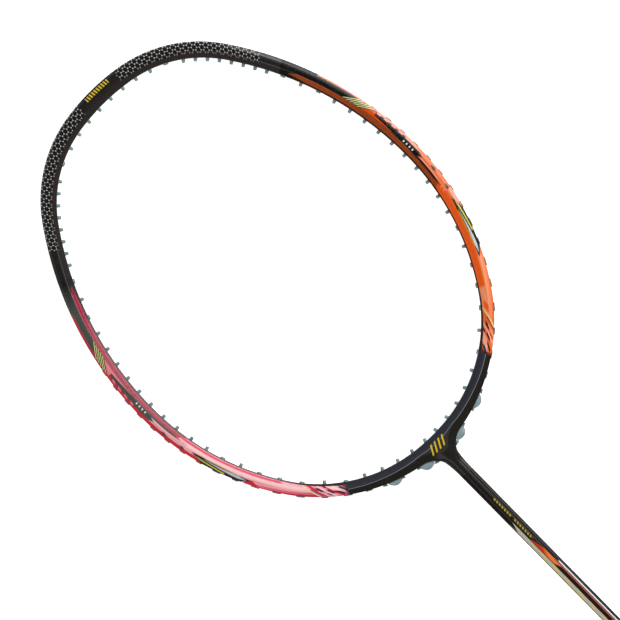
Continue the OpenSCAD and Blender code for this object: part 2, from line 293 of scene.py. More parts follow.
# The same driving sizes as the CAD hoop.
INNER_TIP_Y = 665.7
INNER_THROAT_Y = 423.2
OUTER_TIP_Y = 675.0
OUTER_THROAT_Y = 414.4
WIDEST_Y = 535.5
INNER_HALF_WIDTH = 93.0
OUTER_HALF_WIDTH = 100.5
# Radius of the side arcs above and below the widest line.
INNER_SIDE_RADII = (178.0, 136.5)
OUTER_SIDE_RADII = (188.5, 141.0)
TIP_ARC_END, SHOULDER_ARC_END = 81.0, 35.0
THROAT_ARC_START, LOWER_SHOULDER_START = 85.5, 34.0
NECK_RADIUS = 3.7
NECK_FILLET = 12.0
NECK_END_Y = 397.0


class Outline:
    """Half of the hoop's inner or outer line: six tangent arcs from the tip to the throat."""

    def __init__(self, half_width, tip_y, throat_y, upper_r, lower_r):
        up = self.quarter(half_width, tip_y - WIDEST_Y, upper_r, TIP_ARC_END, SHOULDER_ARC_END)
        down = self.quarter(half_width, WIDEST_Y - throat_y, lower_r, THROAT_ARC_START,
                            LOWER_SHOULDER_START)
        self.arcs = []
        for x, y, radius, first, last in up:
            self.arcs.append((x, WIDEST_Y + y, radius, first, last))
        for x, y, radius, first, last in reversed(down):
            self.arcs.append((x, WIDEST_Y - y, radius, -last, -first))

    @staticmethod
    def quarter(half_width, length, side_r, a, b):
        """Arcs (x, y, radius, first and last direction) from the end of the oval to its side."""
        p = half_width - side_r * (1.0 - cos_deg(b))
        q = side_r * sin_deg(b) - length
        m = cos_deg(b) - cos_deg(a)
        n = sin_deg(b) - sin_deg(a)
        end_r = (p * n - q * m) / (cos_deg(a) * n + (1.0 - sin_deg(a)) * m)
        corner_r = (p - end_r * cos_deg(a)) / m
        step = end_r - corner_r
        return [(0.0, length - end_r, end_r, 90.0, a),
                (step * cos_deg(a), length - end_r + step * sin_deg(a), corner_r, a, b),
                (half_width - side_r, 0.0, side_r, b, 0.0)]

    def arc(self, direction):
        for arc in self.arcs:
            if direction >= arc[4]:
                return arc
        return self.arcs[-1]

    def point(self, direction):
        x, y, radius, _, _ = self.arc(direction)
        return Vector((x + radius * cos_deg(direction), y + radius * sin_deg(direction), 0.0))

    def reach(self, direction):
        x, y, radius, _, _ = self.arc(direction)
        return x * cos_deg(direction) + y * sin_deg(direction) + radius

    def direction_along(self, distance):
        """The direction at a distance from the tip along the line."""
        for _, _, radius, first, last in self.arcs:
            length = radius * math.radians(first - last)
            if distance <= length:
                return first - math.degrees(distance / radius)
            distance -= length
        return -90.0

    def length(self):
        return sum(radius * math.radians(first - last) for _, _, radius, first, last in self.arcs)

    def direction_at(self, x=None, y=None, upper=True):
        """The direction where the line has a given x or y, found by halving."""
        low, high = (0.0, 90.0) if upper else (-90.0, 0.0)
        if y is not None:
            low, high = -90.0, 90.0
        for _ in range(50):
            middle = (low + high) / 2.0
            point = self.point(middle)
            if y is not None:
                too_high = point.y > y
            else:
                too_high = (point.x < x) if upper else (point.x > x)
            low, high = (low, middle) if too_high else (middle, high)
        return (low + high) / 2.0


INNER = Outline(INNER_HALF_WIDTH, INNER_TIP_Y, INNER_THROAT_Y, *INNER_SIDE_RADII)
OUTER = Outline(OUTER_HALF_WIDTH, OUTER_TIP_Y, OUTER_THROAT_Y, *OUTER_SIDE_RADII)
HALF_LENGTH = INNER.length()


def rim_width(direction):
    return OUTER.reach(direction) - INNER.reach(direction)


def fillet_centre():
    """Centre of the fillet between the hoop's outer line and the neck, on the +X side."""
    hub_x, hub_y, hub_r, _, _ = OUTER.arcs[4]
    x = NECK_RADIUS + NECK_FILLET
    return Vector((x, hub_y - math.sqrt((hub_r + NECK_FILLET) ** 2 - (x - hub_x) ** 2), 0.0))


FILLET = fillet_centre()
TANGENT = -math.degrees(math.atan2(OUTER.arcs[4][1] - FILLET.y, FILLET.x - OUTER.arcs[4][0]))


def neck_path(share):
    """The outer line from the hoop down the fillet, the neck's side and its end."""
    arc_start = TANGENT + 180.0
    arc_length = NECK_FILLET * math.radians(180.0 - arc_start)
    side_length = FILLET.y - NECK_END_Y
    distance = share * (arc_length + side_length + NECK_RADIUS)
    if distance <= arc_length:
        angle = arc_start + math.degrees(distance / NECK_FILLET)
        return FILLET + NECK_FILLET * Vector((cos_deg(angle), sin_deg(angle), 0.0))
    if distance <= arc_length + side_length:
        return Vector((NECK_RADIUS, FILLET.y - (distance - arc_length), 0.0))
    return Vector((NECK_RADIUS - (distance - arc_length - side_length), NECK_END_Y, 0.0))


# ---------------------------------------------------------------- hoop

CROWN_HEIGHT = 5.2
GROOVE_DEPTH = 0.85
GROOVE_HALF, GROOVE_SOFT = 1.45, 0.3
GROOVE_END, GROOVE_FADE = 152.0, 8.0
STATION_STEP = 0.85
NECK_STATION_STEP = 0.4
ACROSS_STEPS = 24
HOOP_SHARP_ANGLE = 48.0
OUTER_WALL_STEPS = 12
INNER_WALL_STEPS = 6

# The hoop's section changes between these distances from the tip. Each pair below is before
# and after the change: the face's height and slope at each line, and how round its creases are.
RIDGE_START, RIDGE_FULL = 281.0, 294.0
INNER_EDGE, INNER_SLOPE = (2.0, 2.7), (1.1, 0.64)
OUTER_EDGE, OUTER_SLOPE = (2.1, 2.5), (1.55, 0.6)
CREASE_REACH = (0.7, 0.35)

# The section turns round between these heights on the neck: its power goes from boxy to round.
NECK_START_Y, NECK_FULL_Y = 416.0, 403.0
NECK_POWER = (3.2, 2.0)


def distance_along(direction):
    """Distance from the tip to a direction, along the inner line."""
    total = 0.0
    for _, _, radius, first, last in INNER.arcs:
        total += radius * math.radians(first - max(direction, last))
        if direction >= last:
            break
    return total


TANGENT_ALONG = distance_along(TANGENT)


def groove_depth(along):
    return GROOVE_DEPTH * smoothstep(GROOVE_END, GROOVE_END - GROOVE_FADE, along)


def face_height(point, inner_gap, outer_gap, along):
    """Height of the hoop's face at a point that far from the inner and outer lines."""
    ridge = smoothstep(RIDGE_START, RIDGE_FULL, along)
    neck = smoothstep(NECK_START_Y, NECK_FULL_Y, point.y)
    inner_rise = lerp(*INNER_EDGE, ridge) + lerp(*INNER_SLOPE, ridge) * inner_gap
    outer_rise = lerp(*OUTER_EDGE, ridge) + lerp(*OUTER_SLOPE, ridge) * outer_gap
    if neck > 0.0:
        half = abs(point.x) + outer_gap
        share = min(abs(point.x) / half, 1.0)
        power = lerp(*NECK_POWER, neck)
        round_rise = lerp(CROWN_HEIGHT, NECK_RADIUS, neck) * (1.0 - share ** power) ** (1.0 / power)
        outer_rise = lerp(outer_rise, round_rise, smoothstep(0.0, 0.5, neck))
    crown = lerp(CROWN_HEIGHT, NECK_RADIUS, neck)
    reach = lerp(*CREASE_REACH, ridge)
    height = soft_min(soft_min(inner_rise, crown, reach), outer_rise, reach)
    return max(min(height, CROWN_HEIGHT), 0.0)


def outer_gap(point, along, width, share):
    """Distance from a point of the face to the hoop's outer line or the neck's side."""
    if along < TANGENT_ALONG:
        return width * (1.0 - share)
    if point.y < FILLET.y:
        return max(NECK_RADIUS - abs(point.x), 0.0)
    return max((point - FILLET).length - NECK_FILLET, 0.0)


def section(direction, along):
    """One ring of the hoop on the +X side, each point with its place.

    A place is the distance along the hoop, the share across it and the distance from the
    inner line.
    """
    start = INNER.point(direction)
    if direction >= TANGENT:
        end = OUTER.point(direction)
    else:
        end = neck_path((TANGENT - direction) / (TANGENT + 90.0))
    ray = end - start
    width = ray.length
    outward = ray.normalized()
    top = []
    for k in range(ACROSS_STEPS + 1):
        share = 0.5 - 0.5 * math.cos(math.pi * k / ACROSS_STEPS)
        point = start + ray * share
        height = face_height(point, width * share, outer_gap(point, along, width, share), along)
        top.append((point, share, height))
    ring = [(Vector((p.x, p.y, z)), (along, share, width * share)) for p, share, z in top]
    depth = groove_depth(along)
    for k in range(1, OUTER_WALL_STEPS):
        z = top[-1][2] * (1.0 - 2.0 * k / OUTER_WALL_STEPS)
        sink = depth * smoothstep(GROOVE_HALF + GROOVE_SOFT, GROOVE_HALF - GROOVE_SOFT, abs(z))
        ring.append((Vector((end.x, end.y, z)) - outward * sink, (along, 1.0, width)))
    ring += [(Vector((p.x, p.y, -z)), (along, share, width * share))
             for p, share, z in reversed(top)]
    for k in range(1, INNER_WALL_STEPS):
        z = top[0][2] * (2.0 * k / INNER_WALL_STEPS - 1.0)
        ring.append((Vector((start.x, start.y, z)), (along, 0.0, 0.0)))
    return ring


def even_steps(first, last, step):
    count = max(1, round((last - first) / step))
    return [first + (last - first) * i / count for i in range(count)]


def hoop_mesh():
    """The hoop, throat and neck as one closed loft, with the place of every point on it."""
    along_values = even_steps(0.0, TANGENT_ALONG, STATION_STEP)
    along_values += even_steps(TANGENT_ALONG, HALF_LENGTH, NECK_STATION_STEP) + [HALF_LENGTH]
    half = [section(INNER.direction_along(along), along) for along in along_values]
    rings = half + [[(Vector((-p.x, p.y, p.z)), place) for p, place in ring]
                    for ring in reversed(half[1:-1])]
    solid = loft([[point for point, _ in ring] for ring in rings])
    piece = mesh_piece("hoop_and_throat", [solid], HOOP_SHARP_ANGLE)
    attribute = piece.data.attributes.new("place", "FLOAT_VECTOR", "POINT")
    places = [place for ring in rings for _, place in ring]
    for item, place in zip(attribute.data, places):
        item.vector = place
    return piece


# ---------------------------------------------------------------- string holes

BARREL_RADIUS = 1.0
SHARED_RADIUS = 1.5
STRING_HOLE_RADIUS = 0.6
SHARED_HOLE_RADIUS = 1.1
PIN, SHARED_PIN = 1.9, 0.9
BRIM, THROAT_BRIM = 0.9, 0.5
THROAT_LEAN = 13.0
FIRST_THROAT_RUN, THROAT_RUN = 3.4, 0.5
FIRST_LONG_X, TIP_PITCH, THROAT_PITCH = 4.1, 8.3, 8.8
MIDDLE_CROSS_Y, CROSS_PITCH, CROSS_SPREAD = 546.1, 9.05, 0.027
SHOULDER_FIRST, SHOULDER_PITCH = 47.8, 6.35
# How much slimmer the drill is than the tube, and how far it reaches in and out past the rim.
DRILL_UNDERSIZE, DRILL_INSIDE, DRILL_OUTSIDE = 0.03, 2.0, 1.5


def long_string_x(i, pitch):
    return FIRST_LONG_X + i * pitch


def cross_string_y(j):
    return MIDDLE_CROSS_Y + CROSS_PITCH * j + CROSS_SPREAD * j * abs(j)


def tip_direction(i):
    return INNER.direction_at(x=long_string_x(i, TIP_PITCH), upper=True)


def throat_direction(i):
    return INNER.direction_at(x=long_string_x(i, THROAT_PITCH), upper=False)


def cross_directions(numbers):
    return [INNER.direction_at(y=cross_string_y(j)) for j in numbers]


HOLES = {
    "tip": [tip_direction(i) for i in range(4)],
    "tip_shared": [tip_direction(4)],
    "shoulder": [INNER.direction_along(SHOULDER_FIRST + SHOULDER_PITCH * i) for i in range(8)],
    "shoulder_shared": cross_directions((5, 7)),
    "upper_side": cross_directions((0, 1, 2, 3, 4, 6)),
    "lower_side": cross_directions((-1, -2, -3, -4, -5, -7)),
    "corner_shared": cross_directions((-6, -8, -9, -10)) + [throat_direction(5)],
    "arm": [throat_direction(4), throat_direction(6)],
    "throat": [throat_direction(i) for i in range(4)],
}


def throat_run(i):
    """How much longer than the hoop's width a throat hole is."""
    return FIRST_THROAT_RUN if i == 0 else THROAT_RUN


def hole_frame(direction, lean, side):
    """Matrix, in millimetres, whose +Z runs outward from the inner line at a string hole."""
    start = INNER.point(direction)
    angle = math.radians(direction + lean)
    axis = Vector((side * math.cos(angle), math.sin(angle), 0.0))
    across = Vector((-axis.y, axis.x, 0.0))
    frame_matrix = Matrix((across, Vector((0.0, 0.0, 1.0)), axis)).transposed().to_4x4()
    frame_matrix.translation = Vector((side * start.x, start.y, 0.0))
    return frame_matrix


def lathe(profile, matrix, segments=20):
    """Rings of a profile of (radius, height) pairs turned about +Z and placed by a matrix."""
    rings = []
    for radius, height in profile:
        ring = []
        for k in range(segments):
            angle = 2.0 * math.pi * k / segments
            ring.append(matrix @ Vector((radius * math.cos(angle), radius * math.sin(angle), height)))
        rings.append(ring)
    return rings


def grommet_profile(radius, bore, pin, length, flange):
    """A tapered barrel with a rounded nose, a hole right through it and a flange outside."""
    nose = 0.18
    tip = radius * 0.84
    return [
        (bore, -pin + 0.12), (bore + 0.08, -pin + 0.02), (tip - nose, -pin),
        (tip - nose * 0.3, -pin + nose * 0.3), (tip, -pin + nose), (radius, 0.0),
        (radius, length - 0.1), (radius + 0.1, length), (flange - 0.12, length + 0.02),
        (flange, length + 0.16), (flange - 0.05, length + 0.4), (flange - 0.3, length + 0.56),
        (bore + 0.3, length + 0.6), (bore + 0.06, length + 0.5), (bore, length + 0.3),
    ]


def grommet_solid(direction, side, shared=False, lean=0.0, run=0.0, brim=BRIM):
    radius = SHARED_RADIUS if shared else BARREL_RADIUS
    bore = SHARED_HOLE_RADIUS if shared else STRING_HOLE_RADIUS
    pin = SHARED_PIN if shared else PIN
    length = rim_width(direction) + run - groove_depth(distance_along(direction))
    profile = grommet_profile(radius, bore, pin, length, radius + brim)
    return loft(lathe(profile, hole_frame(direction, lean, side)))


NYLON_SHARP_ANGLE = 50.0
BRIDGE_HEIGHT, BRIDGE_HALF, BRIDGE_STEPS = 2.3, 1.5, 24
# By a bridge's first hole: the part of the way between its two feet that it takes up, and
# how far it reaches back to the lacquer.
BRIDGE_SPAN = {0: (0.04, 0.86, 2.4), 2: (0.16, 1.0, 0.9)}


def throat_foot(i, side):
    direction = HOLES["throat"][i]
    reach = rim_width(direction) + throat_run(i)
    return hole_frame(direction, THROAT_LEAN, side) @ Vector((0.0, 0.0, reach))


def bridge_solid(a, b, foot):
    """A low solid lens between two points, which lifts the string off the lacquer."""
    chord = b - a
    along = chord.normalized()
    outward = Vector((-along.y, along.x, 0.0))
    if outward.y > 0.0:
        outward = -outward
    rings = []
    for k in range(BRIDGE_STEPS + 1):
        share = k / BRIDGE_STEPS
        rise = BRIDGE_HEIGHT * 4.0 * share * (1.0 - share) + 0.1
        half = BRIDGE_HALF * (0.7 + 0.3 * math.sin(math.pi * share))
        ring = []
        for s in range(BRIDGE_STEPS):
            angle = 2.0 * math.pi * s / BRIDGE_STEPS
            high = math.cos(angle)
            lift = rise * high ** 0.6 if high > 0.0 else -foot * (-high) ** 0.6
            wide = half * math.copysign(abs(math.sin(angle)) ** 0.55, math.sin(angle))
            ring.append(a + chord * share + outward * lift + Vector((0.0, 0.0, wide)))
        rings.append(ring)
    return loft(rings, closed=False)


def grommet_solids(directions, sides, shared=False):
    return [grommet_solid(direction, side, shared) for side in sides for direction in directions]


def throat_strip_solids(first, side):
    """Two tubes and the bridge between them."""
    solids = []
    for i in (first, first + 1):
        direction = HOLES["throat"][i]
        run = throat_run(i)
        solids.append(grommet_solid(direction, side, False, THROAT_LEAN, run, THROAT_BRIM))
    outer_foot, inner_foot = throat_foot(first + 1, side), throat_foot(first, side)
    low, high, foot = BRIDGE_SPAN[first]
    a, b = outer_foot.lerp(inner_foot, low), outer_foot.lerp(inner_foot, high)
    return solids + [bridge_solid(a, b, foot)]


def drill_piece():
    """All the string holes as one piece, to cut out of the hoop."""
    solids = []
    for side in (1.0, -1.0):
        for group, directions in HOLES.items():
            for i, direction in enumerate(directions):
                radius = (SHARED_RADIUS if "shared" in group else BARREL_RADIUS) - DRILL_UNDERSIZE
                lean = THROAT_LEAN if group == "throat" else 0.0
                run = throat_run(i) if group == "throat" else 0.0
                end = rim_width(direction) + run + DRILL_OUTSIDE
                profile = [(radius, -DRILL_INSIDE), (radius, end)]
                rings = lathe(profile, hole_frame(direction, lean, side), 16)
                solids.append(loft(rings, closed=False))
    return mesh_piece("drill", solids, NYLON_SHARP_ANGLE)


def drill_holes(hoop):
    """Cuts the string holes; each point then takes the place of the nearest point before."""
    places = [item.vector.copy() for item in hoop.data.attributes["place"].data]
    nearest = KDTree(len(places))
    for i, vertex in enumerate(hoop.data.vertices):
        nearest.insert(vertex.co, i)
    nearest.balance()
    drill = drill_piece()
    cut = hoop.modifiers.new("holes", "BOOLEAN")
    cut.operation = "DIFFERENCE"
    cut.solver = "MANIFOLD"
    cut.object = drill
    bpy.context.view_layer.objects.active = hoop
    with bpy.context.temp_override(object=hoop, active_object=hoop):
        bpy.ops.object.modifier_apply(modifier=cut.name)
    bpy.data.objects.remove(drill)
    for vertex, item in zip(hoop.data.vertices, hoop.data.attributes["place"].data):
        item.vector = places[nearest.find(vertex.co)[1]]


# ---------------------------------------------------------------- hoop paint

# Where one paint ends and the next begins, as distances along the hoop from the tip.
UPPER_START, LOWER_START, PAINT_END = 99.0, 205.0, 289.6
BAND_START, BAND_END = 103.5, 200.5
BEVEL_END = 214.0
RIB = 1.15
SOFT = 0.025

BLACK = srgb(12, 10, 9)
CREAM = srgb(222, 222, 150)
OLIVE = srgb(96, 100, 40)
YELLOW = srgb(206, 188, 52)
LAVENDER = srgb(192, 194, 202)
WHITE = srgb(238, 238, 236)
GOLD = srgb(220, 190, 40)
TEAL = srgb(34, 62, 66)
# Painted highlight along the throat's ridge.
RIDGE_HIGHLIGHT_GREY = srgb(150, 152, 156)
CRIMSON = srgb(206, 6, 42)

# Each colour on the orange side and on the pink side.
PAIRS = {
    # The pink side's crown is painted grey: the crown's sheen there is painted into its colour.
    "crown": ((13, 11, 10), (74, 78, 72)),
    "band": ((178, 72, 8), (176, 0, 50)),
    "weave": ((76, 36, 14), (104, 8, 36)),
    # thread: painted highlight lines on the inner band's ribs.
    "thread": ((214, 118, 66), (226, 150, 166)),
    "bevel": ((242, 146, 122), (206, 0, 36)),
    "teeth": ((13, 11, 10), (240, 120, 136)),
    "wedge": ((218, 76, 0), (244, 132, 140)),
    "fill": ((222, 114, 68), (236, 162, 168)),
    "streak": ((255, 176, 146), (252, 206, 206)),
    "smudge": ((54, 24, 18), (96, 52, 58)),
    "solid": ((240, 90, 0), (240, 162, 170)),
    "late": ((242, 138, 88), (240, 112, 130)),
    "late_top": ((232, 100, 30), (208, 8, 50)),
    "low_band": ((240, 90, 0), (208, 28, 68)),
    # edge: painted shade, a dark strip along the inner line where the inner wall falls away.
    "edge": ((40, 26, 20), (50, 34, 38)),
    "slash": ((240, 112, 62), (240, 146, 168)),
    "chunk": ((36, 12, 8), (40, 26, 34)),
}
ORANGE = {name: srgb(*pair[0]) for name, pair in PAIRS.items()}
PINK = {name: srgb(*pair[1]) for name, pair in PAIRS.items()}


def lacquer_paint(name, shine=0.22, palette=None):
    paint = Paint(name, coat=shine * 0.68, shine=shine)
    paint.palette = palette or {}
    return paint


def lacquer_finish(paint, weave=None):
    """Clear lacquer over the paint: a trace of weave, orange peel and handling marks."""
    paint.bump(paint.noise(420.0, 2.0), 0.06, 0.04)
    if weave is not None:
        paint.bump(weave, 0.15, 0.05)
    wear = paint.noise(60.0, 5.0, roughness=0.7)
    paint.rough(wear * 0.12 + 0.2)
    return paint.finish()


def honeycomb(along, across, side):
    """Masks of a hexagon net: its corner dots, its thin lines and the cells inside them."""
    cell = 1.3
    half_row = math.sqrt(0.75)
    x = (along - side * 1.7 - 14.1) / cell
    row_zero = (along - 15.0) * -0.001 + 0.65
    y = (across - row_zero) * (half_row / 0.16)

    def local(shift_x, shift_y):
        dx = ((x + (1.5 + shift_x)).wrap(3.0) - 1.5).size()
        dy = ((y + (half_row + shift_y)).wrap(2.0 * half_row) - half_row).size()
        return dx, dy, dx * dx + dy * dy

    ax, ay, a_size = local(0.0, 0.0)
    bx, by, b_size = local(1.5, half_row)
    use_a = (b_size - a_size).above(0.0, 0.001)
    lx = ax * use_a + bx * use_a.flip()
    ly = ay * use_a + by * use_a.flip()
    edge = ly.high(lx * half_row + ly * 0.5)
    corner_a = (lx - 1.0) * (lx - 1.0) + ly * ly
    corner_b = (lx - 0.5) * (lx - 0.5) + (ly - half_row) * (ly - half_row)
    corner = corner_a.low(corner_b).node("SQRT")
    return corner.below(0.17, 0.14), edge.above(half_row - 0.08, 0.08), edge.below(0.6, 0.2)


def tip_material():
    """Plain dark lacquer with a hexagon net on both shoulders and gold bars between them."""
    paint = lacquer_paint("hoop_tip_lacquer")
    along, across, _ = paint.place()
    side = paint.position()[0].node("SIGN")
    paint.start(srgb(22, 19, 17))
    paint.lay(across.below(0.4, 0.3) * 0.8, srgb(40, 34, 30))
    paint.fleck(900.0, 4.0, 0.62, 0.2, 0.3, srgb(58, 52, 48))
    dots, lines, cells = honeycomb(along, across, side)
    ragged = paint.noise(300.0, 1.0) * 3.0 - 1.5
    zone = (along - side * 2.0 - 13.0 + ragged).above(0.0, 1.2)
    zone = zone * (along - side * 1.75 - 85.8 + ragged).below(0.0, 1.2)
    zone = zone * across.between(0.26, 1.04, 0.04)
    strength = across.above(0.36, 0.25) * 0.7 + 0.3
    paint.lay(zone * cells * 0.85, srgb(7, 6, 6))
    paint.lay(zone * lines * strength * 0.4, srgb(150, 148, 145))
    paint.lay(zone * dots * strength, srgb(228, 228, 226))
    signed = along * side
    bar = (signed + across * 1.4).wrap(1.62).below(0.85, 0.2)
    paint.lay(bar * signed.between(-5.7, 9.3, 0.2) * across.between(0.64, 0.9, 0.04), GOLD)
    return lacquer_finish(paint)


def inner_band(paint, along, across):
    """A sliver by the shoulder that widens to the whole inner bevel, woven, with two rib-dotted painted
    highlight lines along it.
    """
    top = (along - BAND_START) * 0.033 + 0.24
    bottom = (along - BAND_START) * -0.011 + 0.22
    band = across.below(top.low(0.385), SOFT) * across.above(bottom.high(0.1), SOFT)
    band = band * along.between(BAND_START, BAND_END, 0.6)
    paint.lay(band, "band")
    threads = (along + across * 11.0).wave(1.7) * (along - across * 8.0).wave(2.3)
    paint.lay(band * threads.above(0.1, 0.7) * 0.75, "weave")
    # Painted highlights: rib-dotted light lines along the band, the one at 0.362 on the crease to the
    # crown.
    for centre, weight in ((0.362, 0.65), (0.165, 0.3)):
        line = across.near(centre, 0.018, 0.02) * along.above(107.0, 2.0)
        paint.lay(band * line * along.wave(RIB).above(-0.1, 0.8) * weight, "thread")


def outer_band(paint, along, across, lower):
    """The paint of the outer bevel, with teeth that bite into it where the crown breaks up."""
    paint.lay(across.above(lower, 0.03) * along.between(118.0, BEVEL_END, 0.6), "bevel")
    paint.lay(across.above(0.775, SOFT) * along.between(152.8, BEVEL_END, 0.8), "bevel")
    saw = (along - (across - 0.8) * 8.0 - 155.0).wrap(4.7)
    teeth = saw.below(2.2, 0.5) * along.between(154.5, 171.5, 0.6)
    paint.lay(teeth * across.between(0.74, 0.865, SOFT), "teeth")


def slashes_and_wedge(paint, along, across):
    """Cream slashes over the crown, then a bright wedge that runs out along it."""
    slant = along - (across - 0.43) * 17.5
    zone = slant.between(133.4, 143.9, 0.3) * across.between(0.43, 0.9, SOFT)
    saw = (slant - 133.4).wrap(2.1)
    paint.lay(zone, BLACK)
    paint.lay(zone * saw.below(0.95, 0.2), CREAM)
    paint.lay(zone * saw.between(0.95, 1.3, 0.15) * 0.8, OLIVE)
    wedge = slant.above(144.0, 0.4) * along.below(152.2, 0.6) * across.between(0.43, 0.86, SOFT)
    tail_top = (along - 152.0) * -0.0105 + 0.59
    tail = along.between(151.5, 168.5, 0.4) * across.above(0.43, SOFT)
    paint.lay(wedge.high(tail * across.below(tail_top, SOFT)), "wedge")


def broken_crown(paint, along, across, pink):
    """Below the diamonds the crown ends in a point and long streaks take its place."""
    late = (along + (across - 0.62).size() * 20.0).above(184.5, 1.0) * across.above(0.46, SOFT)
    if pink:
        late = late * across.below(0.76, 0.03)
    paint.lay(late, "fill")
    paint.lay(late * across.near(0.55, 0.035, 0.03) * 0.8, "streak")
    rising = across - (along - 183.0) * 0.004
    paint.lay(late * rising.near(0.66, 0.02, 0.03) * 0.7, "wedge")
    smudge = ((along - 189.9).wrap(11.7) - 2.2).size() / 2.6
    smudge = (smudge + (across - 0.78).size() / 0.1).below(1.0, 0.5)
    paint.lay(smudge * along.between(186.0, 207.0, 0.5), "smudge")
    solid = (along + (across - 0.2) * 12.0).above(201.0, 1.2) * across.below(0.55, 0.03)
    paint.lay(solid, "solid")
    paint.lay(across.between(0.12, 0.28, 0.06) * along.above(200.0, 2.0), "low_band")
    half = ((along - 201.8) * -0.012).low(0.072)
    paint.lay(across.near(0.42, half, 0.02) * along.above(178.0, 4.0), "crown")
    fold = (along - 201.0 - (across - 0.44).size() * 14.0).wrap(2.1).below(0.6, 0.4)
    fold = fold * along.between(200.5, 206.5, 0.5) * across.between(0.34, 0.54, SOFT)
    paint.lay(fold * 0.6, "streak")


def diamonds(paint, along, across):
    """Four small white diamonds on the crown."""
    off = ((along - 170.77).wrap(2.06) - 1.03).size()
    diamond = (off / 0.52 + (across - 0.545).size() / 0.09).below(1.0, 0.25)
    paint.lay(diamond * along.between(170.77, 179.0, 0.1), WHITE)


def upper_flank_material(name, palette, pink):
    paint = lacquer_paint(name, 0.22 if pink else 0.11, palette)
    along, across, _ = paint.place()
    # On the pink side the crown colour is painted sheen, grey over the black lacquer.
    paint.start("crown")
    paint.lay(along.below(110.0, 16.0), srgb(16, 14, 13))
    paint.fleck(700.0, 4.0, 0.6, 0.2, 0.2, srgb(84, 86, 84))
    inner_band(paint, along, across)
    outer_band(paint, along, across, 0.84 if pink else 0.9)
    slashes_and_wedge(paint, along, across)
    broken_crown(paint, along, across, pink)
    diamonds(paint, along, across)
    paint.lay(across.between(0.39, 0.425, 0.02) * along.between(108.0, 199.0, 3.0), BLACK)
    # Painted shade: a dark strip along the inner line.
    paint.lay(across.below(0.085, 0.03) * along.above(106.0, 6.0), "edge")
    return lacquer_finish(paint, along.wave(RIB))


def striped_spear(paint, along, across):
    """A long dark spear with a yellow stripe, a pale stripe and a thin yellow edge."""
    from_middle = along - 223.0
    lower = from_middle * from_middle * 0.0004 + 0.53
    nose = (along - 209.3) * 0.05 + 0.63
    tail = (along - 242.8) * -0.055 + 0.7
    body = across.above(lower, 0.02) * across.below(nose.low(tail), 0.03)
    body = body * along.between(209.3, 243.0, 0.3)
    paint.lay(body, BLACK)
    half = ((along - 211.0) * 0.012).low(0.045)
    stripe = (across - (along - 216.0) * 0.0095).near(0.78, half, 0.02)
    paint.lay(body * stripe * along.between(211.5, 229.0, 0.5), YELLOW)
    half = ((along - 216.0) * 0.0055).low((along - 241.0) * -0.02).low(0.09)
    stripe = (across - (along - 217.0) * 0.0055).near(0.635, half, 0.02)
    paint.lay(body * stripe * along.between(216.0, 241.0, 0.4), LAVENDER)
    edge = (across - lower).near(0.025, 0.018, 0.02)
    paint.lay(edge * along.between(217.0, 236.5, 1.5), YELLOW)


def late_streaks(paint, along, across, pink):
    """Streaks below the spear, which sink slowly inward."""
    late = along.above(242.0, 1.5)
    sunk = across + (along - 243.0) * 0.005
    paint.lay(late * across.above(0.55, 0.05), "late")
    paint.lay(late * sunk.above(0.95, 0.05), "late_top")
    for centre, half, soft, colour in ((0.72, 0.03, 0.03, "streak"), (0.85, 0.02, 0.03, "late_top"),
                                       (0.8, 0.012, 0.02, "streak")):
        paint.lay(late * sunk.near(centre, half, soft) * 0.7, colour)
    paint.lay(across.between(0.12, 0.28, 0.06) * along.below(257.5, 1.5), "low_band")
    if pink:
        paint.lay(across.near(0.46, 0.13, 0.12) * along.below(272.0, 8.0) * 0.8, "streak")
        arrow = (along + (across - 0.9).size() * 14.0).below(247.0, 0.6) * along.above(240.0, 0.6)
        paint.lay(arrow * across.above(0.64, SOFT), CRIMSON)
    else:
        paint.lay(across.below(0.56, 0.04) * along.above(257.5, 1.2), "late")
        pale = (across - (along - 257.0) * 0.01).near(0.3, 0.05, 0.06)
        paint.lay(pale * along.between(257.5, 268.0, 2.0) * 0.5, "streak")
        patch = (along - (across - 0.45) * 11.0).between(265.6, 269.5, 1.2)
        paint.lay(patch * across.between(0.26, 0.6, 0.08), "solid")


# Slashes at the paint's end: from and to along their slant, from and to across, colour.
SLASHES = (
    (268.0, 269.0, 0.1, 0.95, CREAM),
    (269.6, 270.4, 0.4, 0.95, "chunk"),
    (270.6, 272.6, 0.12, 0.95, "late_top"),
    (272.8, 274.8, 0.3, 0.58, "chunk"),
    (274.2, 275.2, 0.7, 0.88, "chunk"),
    (276.8, 278.4, 0.42, 0.72, "chunk"),
    (278.4, 280.6, 0.3, 0.95, "late_top"),
    (278.0, 279.4, 0.1, 0.3, "chunk"),
    (280.0, 281.8, 0.55, 0.86, "chunk"),
    (275.4, 276.6, 0.12, 0.95, "streak"),
    (272.2, 272.9, 0.5, 0.95, "streak"),
    (279.8, 281.4, 0.12, 0.5, "streak"),
    (281.6, 284.0, 0.12, 0.6, "streak"),
    (284.0, 284.6, 0.12, 0.6, LAVENDER),
    (284.4, 285.6, 0.3, 0.95, "chunk"),
    (285.6, 286.8, 0.12, 0.7, TEAL),
    (287.4, 288.6, 0.12, 0.5, "chunk"),
)


def end_slashes(paint, along, across):
    """Slashes of several colours where the paint meets the bare dark throat."""
    slant = along - (across - 0.2) * 11.4
    paint.lay(slant.above(268.8, 0.4) * across.above(0.1, 0.03), "slash")
    for first, last, low, high, colour in SLASHES:
        paint.lay(slant.between(first, last, 0.3) * across.between(low, high, 0.03), colour)
    paint.lay(along.above(288.9, 0.2) * 0.8, "chunk")


